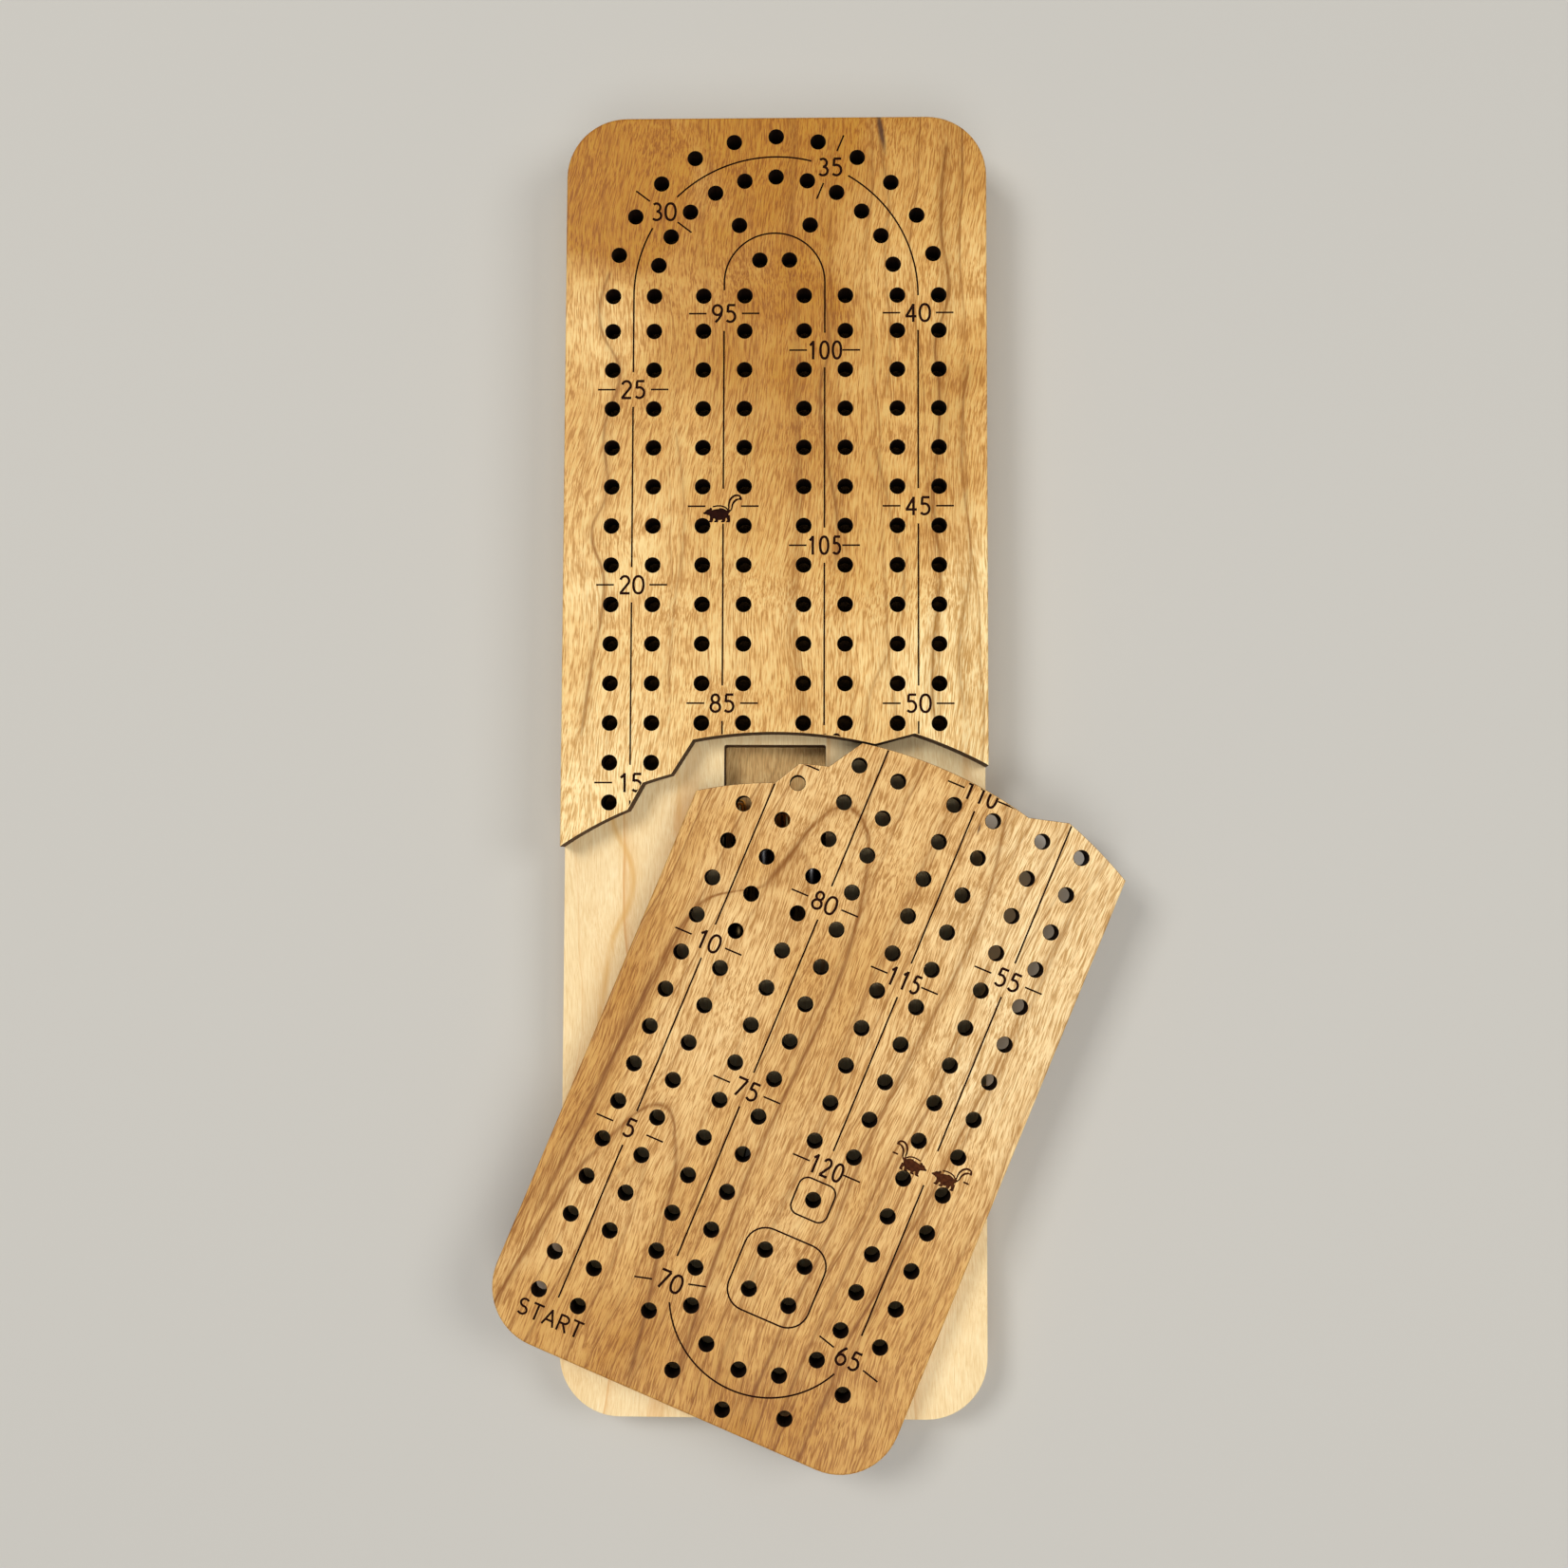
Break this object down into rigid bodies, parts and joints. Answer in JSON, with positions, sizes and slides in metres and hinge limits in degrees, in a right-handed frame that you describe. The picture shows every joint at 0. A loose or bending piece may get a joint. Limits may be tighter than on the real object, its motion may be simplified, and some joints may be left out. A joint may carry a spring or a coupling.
{
  "type": "cribbage board",
  "caption": "Flat laminated wooden cribbage board; the lower part of its drilled playing face swings aside as a lid on a concealed pivot to uncover a peg pocket holding metal pegs.",
  "frame": {"origin": "centre of the board's underside, midway between its sides and its ends", "axes": "+Z out of the playing face; +Y along the board towards the end with the half-round track; +X to the right when the half-round end is up"},
  "size_m": [0.1298, 0.282, 0.0165],
  "materials": {
    "back_cherry": "satin oiled",
    "maple": "satin oiled",
    "plate_cherry": "satin oiled",
    "lid_cherry": "satin oiled",
    "nylon": "matte",
    "brass": "turned and polished",
    "steel": "turned and polished",
    "screw_steel": "zinc plated"
  },
  "bodies": {
    "base": {"back_panel": "back_cherry", "maple_core": "maple", "fixed_track_plate": "plate_cherry", "thrust_washer": "nylon"},
    "lid": {"swing_lid": "lid_cherry", "threaded_insert": "brass", "pivot_screw": "screw_steel"},
    "peg_a": {"brass_peg_1": "brass"},
    "peg_b": {"steel_peg_1": "steel"},
    "peg_c": {"brass_peg_2": "brass"},
    "peg_d": {"steel_peg_2": "steel"}
  },
  "joints": [
    {"name": "lid_swing", "type": "hinge", "parent": "base", "child": "lid", "pos_m": [0, -0.08345, 0.01015], "axis": [0, 0, 1], "range_deg": [-268, 22.6]},
    {"name": "peg_a_slide", "type": "slide", "parent": "base", "child": "peg_a", "axis": [0, 1, 0], "range_m": [0, 0.0111]},
    {"name": "peg_b_slide", "type": "slide", "parent": "base", "child": "peg_b", "axis": [0, 1, 0], "range_m": [0, 0.0111]},
    {"name": "peg_c_slide", "type": "slide", "parent": "base", "child": "peg_c", "axis": [0, 1, 0], "range_m": [0, 0.0111]},
    {"name": "peg_d_slide", "type": "slide", "parent": "base", "child": "peg_d", "axis": [0, 1, 0], "range_m": [0, 0.0111]}
  ]
}
